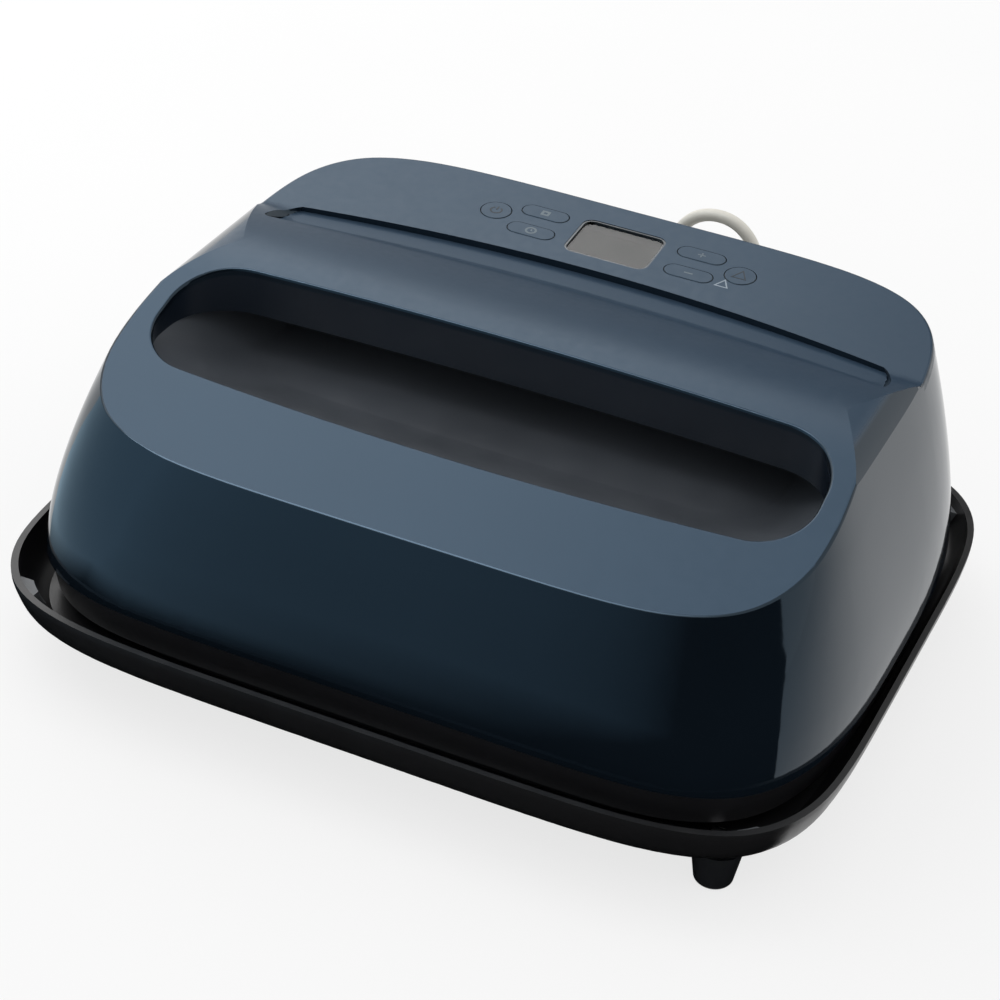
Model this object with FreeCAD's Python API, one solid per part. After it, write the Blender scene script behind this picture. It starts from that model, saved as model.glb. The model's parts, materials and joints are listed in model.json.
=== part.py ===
"""Handheld heat press standing in its safety base.

Frame: +X to the operator's right, +Y to the rear, +Z up.  The origin is the
centre of the footprint, on the surface that the base's feet stand on.
"""
import FreeCAD, Part
import math
import os
from FreeCAD import Vector as V

# ---------------------------------------------------------------- sizes, mm
# safety base
TRAY_GAP_X = 5.0
TRAY_GAP_Y = 13.5
TRAY_POWER = 5.6
TRAY_HEIGHT = 20.0
TRAY_SLOPE_IN = 6.0
TRAY_WALL = 2.5
TRAY_FLOOR = 2.5
TRAY_BOTTOM_ROUND = 5.0
LEG_LENGTH = 18.0
LEG_RIGHT_X = 144.0
LEG_RIGHT_Y = 121.0
LEG_LEFT_X = 120.0
LEG_LEFT_Y = 98.0
LEG_TOP_RADIUS = 10.5
LEG_TIP_RADIUS = 7.5
LEG_TIP_ROUND = 2.5
FOOT_PAD_RADIUS = 4.6
FOOT_PAD_HEIGHT = 2.0
LEG_SCREW_RADIUS = 2.0
LEG_SCREW_LENGTH = 10.0
LINER_THICKNESS = 1.5
LINER_MARGIN = 24.0
LINER_CLEARANCE = 0.8
STUD_RADIUS = 9.0
STUD_HEIGHT = 3.0
STUD_INSET_X = 52.0
STUD_INSET_Y = 46.0
GUIDE_THICKNESS = 4.0
GUIDE_TOP_DROP = 5.0
GUIDE_REACH = 26.0
GUIDE_STANDOFF = 4.0

# press: outer shell
SHELL_WIDTH = 352.0
SHELL_DEPTH = 275.0
SHELL_LIFT = 5.0
SHELL_WALL = 3.0
SIDE_WALL_LEAN = 24.0
FRONT_WALL_LEAN = 22.5
REAR_WALL_LEAN = 9.5
SIDE_BULGE_POWER = 1.35
FRONT_BULGE_POWER = 1.9
BASE_POWER_X = 7.0
BASE_POWER_Y = 3.2
POWER_SHIFT = 1.8
FRONT_EDGE_HEIGHT = 105.0
FRONT_DECK_SLOPE = 0.31
CREST_Y = 47.0
CREST_DROP = 0.2
CREST_SLOPE = -0.25
HANDLE_START_Y = -20.0
DECK_HEIGHT = 133.4
DECK_SLOPE = 0.08
DECK_START_Y = 60.0
SKIN = 3.0
DECK_THICKNESS = 3.4
TOP_EDGE_ROUND = 1.5

# shoulders where the grip's ends roll over into the side walls
SHOULDER_RADIUS = 24.0
SHOULDER_SETBACK = 17.0
SHOULDER_RISE = 5.42

# hand opening, the scoop below it and the grip
OPENING_SETBACK = 8.5
OPENING_FRONT_Y = -73.0
OPENING_FRONT_BOW = -5.5
GRIP_FRONT_Y = -8.0
GRIP_FRONT_BOW = 4.5
OPENING_FRONT_CORNER = 24.0
OPENING_REAR_CORNER = 27.0
OPENING_EDGE_ROUND = 1.2
GRIP_HEIGHT = 17.0
SCOOP_DEPTH = 19.0
SCOOP_RAMP = 43.0
SCOOP_END_RAMP = 26.0
SCOOP_POWER = 1.6
SCOOP_CORNER = 30.0
POCKET_REAR_Y = 28.0
POCKET_REAR_CORNER = 16.0
POCKET_WALL = 2.5
GRIP_WALL = 4.0

# thumb groove behind the grip
GROOVE_DEPTH = 5.0
GROOVE_LIP = 0.8
GROOVE_SETBACK = 10.0
GROOVE_FRONT_BOW = 9.5
GROOVE_FRONT_CORNER = 3.0
GROOVE_REAR_CORNER = 17.0
GROOVE_LOW_CORNER = 5.0
GROOVE_RAMP = 13.0
GROOVE_END_RAMP = 5.0
GROOVE_POWER = 1.8
GROOVE_WALL = 2.5
DECK_EDGE_Y = 74.0
DECK_EDGE_BOW = 13.5
DECK_OVERLAP = 1.0

# control deck
WINDOW_WIDTH = 39.4
WINDOW_DEPTH = 28.8
WINDOW_CORNER = 5.0
WINDOW_Y = 97.7
BEZEL_WALL = 0.9
BEZEL_DROP = 0.25
LENS_DROP = 1.1
LENS_THICKNESS = 1.4
KEY_GAP = 0.3
KEY_PROUD = 0.2
KEY_TRAVEL = 0.5
KEY_SLACK = 0.1
KEY_FLANGE = 1.0
KEY_FLANGE_THICKNESS = 1.0
KEY_CHAMFER = 0.25
ROUND_KEY_RADIUS = 6.9
ROUND_KEY_X = 57.8
ROUND_KEY_Y = 99.1
PILL_LENGTH = 22.0
PILL_HEIGHT = 9.0
PILL_X = 37.1
PILL_REAR_Y = 106.6
PILL_FRONT_Y = 90.6
SWITCH_SIZE = 6.0
SWITCH_BODY = 2.4
SWITCH_PLUNGER_RADIUS = 1.7
SWITCH_PLUNGER = 0.8
BOARD_THICKNESS = 1.6
BOARD_WIDTH = 146.0
BOARD_DEPTH = 36.0
BOARD_POST_RADIUS = 3.0
BOARD_SCREW_RADIUS = 1.3
BOARD_SCREW_HEAD = 1.6
BOARD_POST_INSET = 5.0
BOARD_CORNER = 2.0
POST_ROOT = 0.5
LCD_MARGIN = 3.0

# skirt, chassis and heated parts
SKIRT_BOTTOM_DROP = 10.0
SKIRT_INSET = 1.0
SKIRT_LEAN = 2.5
SKIRT_WALL = 2.5
SKIRT_FLANGE = 2.0
TONGUE_CLEARANCE = 2.2
PLATE_EDGE_ROUND = 1.5
PLATE_SETBACK_X = 30.0
PLATE_SETBACK_Y = 21.5
PLATE_THICKNESS = 12.0
PLATE_CORNER = 40.0
PLATE_GAP = 2.0
ELEMENT_RADIUS = 3.3
ELEMENT_SPAN_X = 236.0
ELEMENT_SPAN_Y = 176.0
ELEMENT_CORNER = 30.0
ELEMENT_GAP = 30.0
ELEMENT_PIN_RADIUS = 2.2
SHIELD_THICKNESS = 1.0
SHIELD_RISE = 7.0
SHIELD_MARGIN = 6.0
SHIELD_LIP = 4.0
BLANKET_THICKNESS = 11.0
BLANKET_MARGIN = 8.0
CHASSIS_THICKNESS = 1.5
STANDOFF_RADIUS = 4.0
STANDOFF_COLLAR_RADIUS = 6.5
STANDOFF_X = 100.0
STANDOFF_Y = 60.0
SCREW_RADIUS = 2.0
SCREW_HEAD_RADIUS = 3.6
SCREW_HEAD_HEIGHT = 2.2
SCREW_LENGTH = 12.0
HEAD_CLEARANCE = 0.6
PIN_CLEARANCE = 0.5
PIN_RISE = 8.0
BOSS_RADIUS = 5.5
BOSS_X = 128.0
BOSS_FRONT_Y = -92.0
BOSS_REAR_Y = 92.0
FUSE_RADIUS = 2.2
FUSE_LENGTH = 14.0
FUSE_X = 30.0
SENSOR_X = -30.0
SENSOR_RADIUS = 3.0
SENSOR_HEIGHT = 4.5

# mains electronics
POWER_BOARD_WIDTH = 110.0
POWER_BOARD_DEPTH = 52.0
POWER_BOARD_Y = 88.0
POWER_BOARD_RISE = 6.0
POWER_POST_RADIUS = 3.0
POWER_POST_INSET = 6.0
RELAY = (19.0, 15.5, 15.0)
RELAY_X = -34.0
RELAY_ROUND = 1.0
TRANSFORMER = (30.0, 26.0, 22.0)
TRANSFORMER_X = 36.0
TRANSFORMER_CHAMFER = 1.5
TERMINAL = (26.0, 11.0, 12.0)
TERMINAL_X = 0.0
TERMINAL_SHIFT_Y = 14.0
BUZZER_RADIUS = 6.0
BUZZER_HEIGHT = 7.0
BUZZER_X = -12.0

# cord, its gland, coil and plug
CORD_DIAMETER = 6.0
CORD_EXIT_HEIGHT = 70.0
GLAND_LENGTH = 24.0
GLAND_BASE_RADIUS = 7.0
GLAND_TIP_RADIUS = 4.4
GLAND_HEAD_RADIUS = 9.0
GLAND_HEAD = 3.0
GLAND_HEAD_GAP = 2.0
GLAND_RINGS = 4
GLAND_RING_START = 5.0
GLAND_RING_PITCH = 4.2
GLAND_RING_WIDTH = 1.6
GLAND_RING_CORE = 3.7
CLAMP_WIDTH = 24.0
CLAMP_DEPTH = 10.0
CLAMP_COVER = 2.5
CLAMP_GAP = 2.0
COIL_X = 10.0
COIL_Y = 210.0
COIL_MID_DIAMETER = 72.0
COIL_TURNS = 6.75
TIE_WIDTH = 9.0
TIE_THICKNESS = 1.2
TIE_ROUND = 1.0
PLUG_LENGTH = 38.0
PLUG_WIDTH = 27.0
PLUG_HEIGHT = 23.0
PLUG_ROUND = 5.0
PLUG_NECK_LENGTH = 14.0
PLUG_NECK_RADIUS = 5.6
PLUG_NECK_TIP = 4.2
PLUG_NECK_ROOT = 2.0
PLUG_BANDS = 3
PLUG_BAND_START = 3.0
PLUG_BAND_PITCH = 3.6
PLUG_BAND_WIDTH = 1.4
PLUG_BAND_CORE = 3.8
BLADE_LENGTH = 17.0
BLADE_WIDTH = 6.3
BLADE_THICKNESS = 1.5
BLADE_SPACING = 12.7
GROUND_PIN_RADIUS = 2.4
GROUND_PIN_DROP = 11.9
BLADE_RISE = 3.95

# ------------------------------------------------- derived spans and heights
TRAY_WIDTH = SHELL_WIDTH + 2 * TRAY_GAP_X
TRAY_DEPTH = SHELL_DEPTH + 2 * TRAY_GAP_Y
TOP_WIDTH = SHELL_WIDTH - 2 * SIDE_WALL_LEAN
PLATE_WIDTH = SHELL_WIDTH - 2 * PLATE_SETBACK_X
PLATE_DEPTH = SHELL_DEPTH - 2 * PLATE_SETBACK_Y
OPENING_HALF_LENGTH = TOP_WIDTH / 2 - OPENING_SETBACK
GROOVE_HALF_LENGTH = TOP_WIDTH / 2 - GROOVE_SETBACK
CREST_HEIGHT = DECK_HEIGHT - CREST_DROP
POCKET_CEILING = CREST_HEIGHT - GRIP_HEIGHT
POCKET_FLOOR = POCKET_CEILING - SCOOP_DEPTH
RIM_Z = LEG_LENGTH + TRAY_HEIGHT
SHELL_Z = RIM_Z + SHELL_LIFT
TRAY_INSIDE_Z = LEG_LENGTH + TRAY_FLOOR
LINER_TOP = TRAY_INSIDE_Z + LINER_THICKNESS
PLATE_Z = LINER_TOP + STUD_HEIGHT
PLATE_TOP = PLATE_Z + PLATE_THICKNESS
SKIRT_Z = RIM_Z - SKIRT_BOTTOM_DROP
SHIELD_Z = PLATE_TOP + SHIELD_RISE
BLANKET_Z = SHIELD_Z + SHIELD_THICKNESS
CHASSIS_Z = BLANKET_Z + BLANKET_THICKNESS
CHASSIS_TOP = CHASSIS_Z + CHASSIS_THICKNESS
TALL = DECK_HEIGHT + 60.0
CORD_RADIUS = CORD_DIAMETER / 2

os.makedirs("parts", exist_ok=True)


def save(name, shape):
    shape.exportStep("parts/" + name + ".step")


# ------------------------------------------------------------ basic helpers
def outline(half_x, front, rear, power_x, power_y, z, count=48):
    """Closed superellipse whose front and rear halves may differ in depth."""
    points = []
    for i in range(count):
        angle = 2 * math.pi * i / count
        c, s = math.cos(angle), math.sin(angle)
        low, high = 0.5, 1.6
        for _ in range(40):
            r = (low + high) / 2
            if abs(r * c) ** power_x + abs(r * s) ** power_y > 1:
                high = r
            else:
                low = r
        depth = rear if s > 0 else front
        points.append(V(half_x * r * c, depth * r * s, z))
    curve = Part.BSplineCurve()
    curve.interpolate(Points=points, PeriodicFlag=True)
    return Part.Wire(curve.toShape())


def prism(wire, height):
    return Part.Face(wire).extrude(V(0, 0, height))


def box(x0, x1, y0, y1, z0, z1):
    return Part.makeBox(x1 - x0, y1 - y0, z1 - z0, V(x0, y0, z0))


def rod(radius, x, y, z0, z1):
    return Part.makeCylinder(radius, z1 - z0, V(x, y, z0))


def rounded_box(width, depth, height, corner, centre, z):
    block = Part.makeBox(width, depth, height, V(centre[0] - width / 2, centre[1] - depth / 2, z))
    upright = [e for e in block.Edges if abs(e.tangentAt(e.FirstParameter).z) > 0.9]
    return block.makeFillet(corner, upright)


def hermite(y, y0, y1, z0, z1, slope0, slope1):
    t, h = (y - y0) / (y1 - y0), y1 - y0
    lift = h * (slope0 * (t - 2 * t * t + t ** 3) + slope1 * (t ** 3 - t * t))
    return z0 * (1 - 3 * t * t + 2 * t ** 3) + z1 * (3 * t * t - 2 * t ** 3) + lift


def corners(x, y):
    return [(-x, -y), (x, -y), (-x, y), (x, y)]


def fuse(shapes):
    whole = shapes[0]
    for shape in shapes[1:]:
        whole = whole.fuse(shape)
    return whole.removeSplitter()


# -------------------------------------------------------------- safety base
def tray_outline(inset, z):
    return outline(TRAY_WIDTH / 2 - inset, TRAY_DEPTH / 2 - inset, TRAY_DEPTH / 2 - inset,
                   TRAY_POWER, TRAY_POWER, z)


def tray_solid(inset, bottom):
    """Dished solid from bottom to the rim, its wall leaning in and rounded under."""
    levels = []
    for share in (0.0, 0.08, 0.22, 0.45, 0.7, 1.0):
        z = bottom + share * (RIM_Z - bottom)
        lean = TRAY_SLOPE_IN * ((RIM_Z - z) / TRAY_HEIGHT) ** 1.6
        levels.append(tray_outline(inset + lean + TRAY_BOTTOM_ROUND * (1 - share) ** 9, z))
    return Part.makeLoft(levels, True)


tray_body = tray_solid(0, LEG_LENGTH)
tray_hollow = tray_solid(TRAY_WALL, TRAY_INSIDE_Z)
leg_places = [(-LEG_LEFT_X, -LEG_LEFT_Y), (LEG_RIGHT_X, -LEG_RIGHT_Y),
              (-LEG_LEFT_X, LEG_LEFT_Y), (LEG_RIGHT_X, LEG_RIGHT_Y)]
tray = tray_body.cut(tray_hollow)
for x, y in leg_places:
    tray = tray.cut(rod(LEG_SCREW_RADIUS, x, y, LEG_LENGTH - 1, TRAY_INSIDE_Z + 1))
save("base_tray", tray)

LEG_NAMES = ("front_left", "front_right", "rear_left", "rear_right")
for name, (x, y) in zip(LEG_NAMES, leg_places):
    leg = Part.makeCone(LEG_TIP_RADIUS, LEG_TOP_RADIUS, LEG_LENGTH, V(x, y, 0))
    leg = leg.makeFillet(LEG_TIP_ROUND, [e for e in leg.Edges if e.BoundBox.ZMax < 0.1])
    leg = leg.cut(rod(FOOT_PAD_RADIUS, x, y, -1, FOOT_PAD_HEIGHT))
    leg = leg.cut(rod(LEG_SCREW_RADIUS, x, y, LEG_LENGTH - LEG_SCREW_LENGTH, LEG_LENGTH + 1))
    save("leg_" + name, leg)

save("foot_pads", Part.makeCompound([rod(FOOT_PAD_RADIUS, x, y, 0, FOOT_PAD_HEIGHT)
                                     for x, y in leg_places]))

# the liner is a flat mat with holes over the leg screws
liner = prism(tray_outline(LINER_MARGIN, TRAY_INSIDE_Z), LINER_THICKNESS)
for x, y in leg_places:
    liner = liner.cut(rod(SCREW_HEAD_RADIUS + LINER_CLEARANCE, x, y, LEG_LENGTH, SHELL_Z))
save("base_liner", liner)
stud_places = corners(PLATE_WIDTH / 2 - STUD_INSET_X, PLATE_DEPTH / 2 - STUD_INSET_Y)
screws = []
for x, y in leg_places:
    shank = rod(LEG_SCREW_RADIUS, x, y, LEG_LENGTH - LEG_SCREW_LENGTH, TRAY_INSIDE_Z)
    head = rod(SCREW_HEAD_RADIUS, x, y, TRAY_INSIDE_Z, TRAY_INSIDE_Z + SCREW_HEAD_HEIGHT)
    screws.append(shank.fuse(head))
save("leg_screws", Part.makeCompound(screws))

studs = []
for x, y in stud_places:
    stud = rod(STUD_RADIUS, x, y, LINER_TOP, PLATE_Z)
    studs.append(stud.makeFillet(STUD_HEIGHT / 4, [e for e in stud.Edges
                                                   if e.BoundBox.ZMin > PLATE_Z - 0.1]))
save("rest_studs", Part.makeCompound(studs))

# corner guides: strips along the inside of the tray's corners
guide_band = tray_solid(TRAY_WALL, TRAY_INSIDE_Z).cut(
    tray_solid(TRAY_WALL + GUIDE_THICKNESS, TRAY_INSIDE_Z - 1))
guide_x = TRAY_WIDTH / 2 - TRAY_WALL
guide_y = TRAY_DEPTH / 2 - TRAY_WALL
for name, (sx, sy) in zip(LEG_NAMES, corners(1, 1)):
    x0, x1 = sorted((sx * (guide_x - GUIDE_REACH), sx * (guide_x - GUIDE_STANDOFF)))
    y0, y1 = sorted((sy * (guide_y - GUIDE_REACH), sy * (guide_y - GUIDE_STANDOFF)))
    guide = guide_band.common(box(x0, x1, y0, y1, TRAY_INSIDE_Z, RIM_Z - GUIDE_TOP_DROP))
    save("corner_guide_" + name, guide)


# ------------------------------------------------------- outer form of shell
TOP_SPAN = DECK_HEIGHT - SHELL_Z
FRONT_SPAN = FRONT_EDGE_HEIGHT - SHELL_Z


def shell_section(z, inset=0.0):
    rise = max(z - SHELL_Z, 0.0)
    side = rise / TOP_SPAN
    front = rise / FRONT_SPAN
    half = SHELL_WIDTH / 2 - (SHELL_WIDTH - TOP_WIDTH) / 2 * side ** SIDE_BULGE_POWER
    front_depth = SHELL_DEPTH / 2 - FRONT_WALL_LEAN * front ** FRONT_BULGE_POWER
    rear_depth = SHELL_DEPTH / 2 - REAR_WALL_LEAN * side ** SIDE_BULGE_POWER
    return outline(half - inset, front_depth - inset, rear_depth - inset,
                   BASE_POWER_X - POWER_SHIFT * side, BASE_POWER_Y + POWER_SHIFT * side, z)


def shell_loft(inset, bottom):
    top = DECK_HEIGHT + 9.0
    levels = [bottom + (top - bottom) * share for share in (0, 0.15, 0.3, 0.46, 0.62, 0.8, 1)]
    return Part.makeLoft([shell_section(z, inset) for z in levels], True)


def deck_plane(y):
    return DECK_HEIGHT + DECK_SLOPE * (y - ROUND_KEY_Y)


FRONT_EDGE_Y = FRONT_WALL_LEAN - SHELL_DEPTH / 2


def front_plane(y):
    return FRONT_EDGE_HEIGHT + FRONT_DECK_SLOPE * (y - FRONT_EDGE_Y)


def top_height(y):
    """Height of the shell's top: front deck, grip, dip and control deck."""
    if y < HANDLE_START_Y:
        return front_plane(y)
    if y < CREST_Y:
        return hermite(y, HANDLE_START_Y, CREST_Y, front_plane(HANDLE_START_Y), CREST_HEIGHT,
                       FRONT_DECK_SLOPE, CREST_SLOPE)
    if y < DECK_START_Y:
        return hermite(y, CREST_Y, DECK_START_Y, CREST_HEIGHT, deck_plane(DECK_START_Y),
                       CREST_SLOPE, DECK_SLOPE)
    return deck_plane(y)


def above_top(drop):
    """Everything above the shell's top profile moved down by drop."""
    reach_x, reach_y = SHELL_WIDTH / 2 + 24, SHELL_DEPTH / 2 + 32

    def place(y):
        return V(-reach_x, y, top_height(y) - drop)

    span = DECK_START_Y - HANDLE_START_Y
    crown = Part.BSplineCurve()
    crown.interpolate(Points=[place(HANDLE_START_Y + span * i / 9) for i in range(10)],
                      InitialTangent=V(0, 1, FRONT_DECK_SLOPE), FinalTangent=V(0, 1, DECK_SLOPE))
    front, rear = place(-reach_y), place(reach_y)
    rear_top, front_top = V(-reach_x, reach_y, TALL), V(-reach_x, -reach_y, TALL)
    edges = [Part.LineSegment(front, place(HANDLE_START_Y)).toShape(), crown.toShape(),
             Part.LineSegment(place(DECK_START_Y), rear).toShape(),
             Part.LineSegment(rear, rear_top).toShape(),
             Part.LineSegment(rear_top, front_top).toShape(),
             Part.LineSegment(front_top, front).toShape()]
    return Part.Face(Part.Wire(edges)).extrude(V(2 * reach_x, 0, 0))


def on_rim_of_top(edge):
    points = edge.discretize(9)
    level = all(abs(p.z - top_height(p.y)) < 0.3 for p in points)
    return level and edge.Curve.TypeId != "Part::GeomLine"


def outside_shoulders(inset):
    """What lies outside the rolled shoulders at both ends of the grip."""
    radius = SHOULDER_RADIUS - inset
    x = TOP_WIDTH / 2 - SHOULDER_SETBACK
    y = -SHELL_DEPTH / 2
    z = CREST_HEIGHT + SHOULDER_RISE - SHOULDER_RADIUS
    corner = radius * math.sqrt(0.5)
    top, side = V(x, y, z + radius), V(x + radius, y, z)
    outside = [side, V(SHELL_WIDTH, y, z), V(SHELL_WIDTH, y, TALL), V(x, y, TALL), top]
    sides = [Part.LineSegment(p, q).toShape() for p, q in zip(outside, outside[1:])]
    bend = Part.Arc(top, V(x + corner, y, z + corner), side).toShape()
    right = Part.Face(Part.Wire([bend] + sides)).extrude(V(0, DECK_START_Y - y, 0))
    return Part.makeCompound([right, right.mirror(V(0, 0, 0), V(1, 0, 0))])


outer = shell_loft(0, SHELL_Z).cut(above_top(0))
outer = outer.makeFillet(TOP_EDGE_ROUND, [e for e in outer.Edges if on_rim_of_top(e)])
outer = outer.cut(outside_shoulders(0))
inner = shell_loft(SHELL_WALL, SHELL_Z).cut(above_top(SKIN)).cut(outside_shoulders(SKIN))


# ------------------------------------------------- hand opening and its void
def bowed_prism(plan, shift, z0, z1):
    """Upright block whose front and rear sides bow, with rounded corners.

    plan is (half, front, front bow, rear, rear bow, front corner, rear corner);
    shift is added to it, item by item.
    """
    half, front, front_bow, rear, rear_bow, front_corner, rear_corner = [
        size + change for size, change in zip(plan, shift)]
    a, b = V(-half, front - front_bow, z0), V(half, front - front_bow, z0)
    c, d = V(half, rear - rear_bow, z0), V(-half, rear - rear_bow, z0)
    if rear_bow > 0:
        rear_edge = Part.Arc(c, V(0, rear, z0), d).toShape()
    else:
        rear_edge = Part.LineSegment(c, d).toShape()
    wire = Part.Wire([Part.Arc(a, V(0, front, z0), b).toShape(), Part.LineSegment(b, c).toShape(),
                      rear_edge, Part.LineSegment(d, a).toShape()])
    block = prism(wire, z1 - z0)
    for radius, at_front in ((front_corner, True), (rear_corner, False)):
        upright = [e for e in block.Edges if abs(e.tangentAt(e.FirstParameter).z) > 0.9]
        corner_y = a.y if at_front else c.y
        wanted = [e for e in upright if abs(e.CenterOfMass.y - corner_y) < 0.01
                  and abs(abs(e.CenterOfMass.x) - half) < 0.01]
        block = block.makeFillet(radius, wanted)
    return block


def grown(size):
    """Shift that moves every side of a plan outward by size."""
    return (size, -size, 0.0, size, 0.0, size, size)


def scoop(plan, grow, floor, top, ramp, end_ramp, power, low_corners):
    """Dished hollow: the front and the ends run down a curved ramp, the rear is upright."""
    levels = []
    for share in (0.0, 0.15, 0.35, 0.6, 0.8, 1.0):
        z = floor + (top - floor) * (1 - share) ** power - (grow if share > 0 else 0.0)
        half = plan[0] - end_ramp * share
        bow = (half / plan[0]) ** 2
        front_corner = plan[5] + (low_corners[0] - plan[5]) * share
        rear_corner = plan[6] + (low_corners[1] - plan[6]) * share
        level = (half, plan[1] + ramp * share, plan[2] * bow, plan[3], plan[4] * bow,
                 front_corner, rear_corner)
        block = bowed_prism(level, grown(grow), z, TALL)
        base = [f for f in block.Faces if f.BoundBox.ZMax < z + 0.01][0]
        levels.append(base.OuterWire)
    return Part.makeLoft(levels, True)


MOUTH = (OPENING_HALF_LENGTH, OPENING_FRONT_Y, OPENING_FRONT_BOW, GRIP_FRONT_Y, GRIP_FRONT_BOW,
         OPENING_FRONT_CORNER, OPENING_REAR_CORNER)
POCKET = (OPENING_HALF_LENGTH, OPENING_FRONT_Y, OPENING_FRONT_BOW, POCKET_REAR_Y, 0.0,
          OPENING_FRONT_CORNER, POCKET_REAR_CORNER)
slot = bowed_prism(MOUTH, grown(0), POCKET_CEILING, TALL)
pocket_corners = (SCOOP_CORNER, POCKET_REAR_CORNER)
pocket_void = scoop(POCKET, 0, POCKET_FLOOR, POCKET_CEILING, SCOOP_RAMP, SCOOP_END_RAMP,
                    SCOOP_POWER, pocket_corners).fuse(slot)
tub = scoop(POCKET, POCKET_WALL, POCKET_FLOOR, POCKET_CEILING, SCOOP_RAMP, SCOOP_END_RAMP,
            SCOOP_POWER, pocket_corners)
save("pocket_tub", tub.common(inner).cut(pocket_void))

# ------------------------------------------------------------- thumb groove
GROOVE = (GROOVE_HALF_LENGTH, CREST_Y, GROOVE_FRONT_BOW, DECK_EDGE_Y + DECK_OVERLAP,
          DECK_EDGE_BOW, GROOVE_FRONT_CORNER, GROOVE_REAR_CORNER)
groove_floor = CREST_HEIGHT - GROOVE_DEPTH
groove_top = CREST_HEIGHT + GROOVE_LIP
groove_corners = (GROOVE_LOW_CORNER, GROOVE_LOW_CORNER)
groove = scoop(GROOVE, 0, groove_floor, groove_top, GROOVE_RAMP, GROOVE_END_RAMP,
               GROOVE_POWER, groove_corners)
groove = groove.fuse(bowed_prism(GROOVE, grown(0), groove_top, TALL))
groove_lining = scoop(GROOVE, GROOVE_WALL, groove_floor, groove_top + GROOVE_LIP, GROOVE_RAMP,
                      GROOVE_END_RAMP, GROOVE_POWER, groove_corners)

# ------------------------------------------------------------- control deck
deck_angle = math.degrees(math.atan(DECK_SLOPE))


def in_deck_frame(shape):
    """Place a shape drawn over a level deck at z = 0 onto the sloping deck."""
    shape.rotate(V(0, 0, 0), V(1, 0, 0), deck_angle)
    shape.translate(V(0, ROUND_KEY_Y, DECK_HEIGHT))
    return shape


# plan region behind the arc where the control deck begins
deck_edge_radius = (GROOVE_HALF_LENGTH ** 2 + DECK_EDGE_BOW ** 2) / (2 * DECK_EDGE_BOW)
before_deck = Part.makeCylinder(deck_edge_radius, TALL - SHELL_Z,
                                V(0, DECK_EDGE_Y - deck_edge_radius, SHELL_Z))
behind_edge = box(-SHELL_WIDTH, SHELL_WIDTH, 0, SHELL_DEPTH, SHELL_Z, TALL).cut(before_deck)
deck_space = behind_edge.common(above_top(DECK_THICKNESS))


def pill(length, height, thick, x, y, top):
    """Round-ended block, its top at height top over the level deck."""
    half = (length - height) / 2
    v = y - ROUND_KEY_Y
    middle = Part.makeBox(2 * half, height, thick, V(x - half, v - height / 2, top - thick))
    left = Part.makeCylinder(height / 2, thick, V(x - half, v, top - thick))
    right = Part.makeCylinder(height / 2, thick, V(x + half, v, top - thick))
    return fuse([middle, left, right])


def window_block(grow, thick, top):
    block = rounded_box(WINDOW_WIDTH + 2 * grow, WINDOW_DEPTH + 2 * grow, thick,
                        WINDOW_CORNER + grow, (0, WINDOW_Y - ROUND_KEY_Y), top - thick)
    return block


def round_key(radius, thick, x, top):
    return Part.makeCylinder(radius, thick, V(x, 0, top - thick))


FLANGE_TOP = -DECK_THICKNESS - KEY_SLACK
FLANGE_BOTTOM = FLANGE_TOP - KEY_FLANGE_THICKNESS
PLUNGER_TOP = FLANGE_BOTTOM - KEY_TRAVEL - KEY_SLACK
BOARD_TOP = PLUNGER_TOP - SWITCH_PLUNGER - SWITCH_BODY
BOARD_BOTTOM = BOARD_TOP - BOARD_THICKNESS

keys = {
    "button_power": (None, -ROUND_KEY_X, ROUND_KEY_Y),
    "button_temperature": (PILL_LENGTH, -PILL_X, PILL_REAR_Y),
    "button_timer": (PILL_LENGTH, -PILL_X, PILL_FRONT_Y),
    "button_plus": (PILL_LENGTH, PILL_X, PILL_REAR_Y),
    "button_minus": (PILL_LENGTH, PILL_X, PILL_FRONT_Y),
    "button_go": (None, ROUND_KEY_X, ROUND_KEY_Y),
}


def key_block(length, x, y, grow, thick, top):
    if length is None:
        return round_key(ROUND_KEY_RADIUS + grow, thick, x, top)
    return pill(length + 2 * grow, PILL_HEIGHT + 2 * grow, thick, x, y, top)


deck = outer.common(deck_space)
tall_cut = DECK_THICKNESS + 12.0
for name, (length, x, y) in keys.items():
    deck = deck.cut(in_deck_frame(key_block(length, x, y, KEY_GAP, tall_cut, 6.0)))
    cap_height = KEY_PROUD + DECK_THICKNESS + KEY_SLACK
    cap = key_block(length, x, y, 0, cap_height, KEY_PROUD)
    cap = cap.makeChamfer(KEY_CHAMFER, [e for e in cap.Edges if e.BoundBox.ZMin > KEY_PROUD - 0.01])
    flange = key_block(length, x, y, KEY_FLANGE, KEY_FLANGE_THICKNESS, FLANGE_TOP)
    save(name, in_deck_frame(cap.fuse(flange).removeSplitter()))
deck = deck.cut(in_deck_frame(window_block(0, tall_cut, 6.0)))

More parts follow.
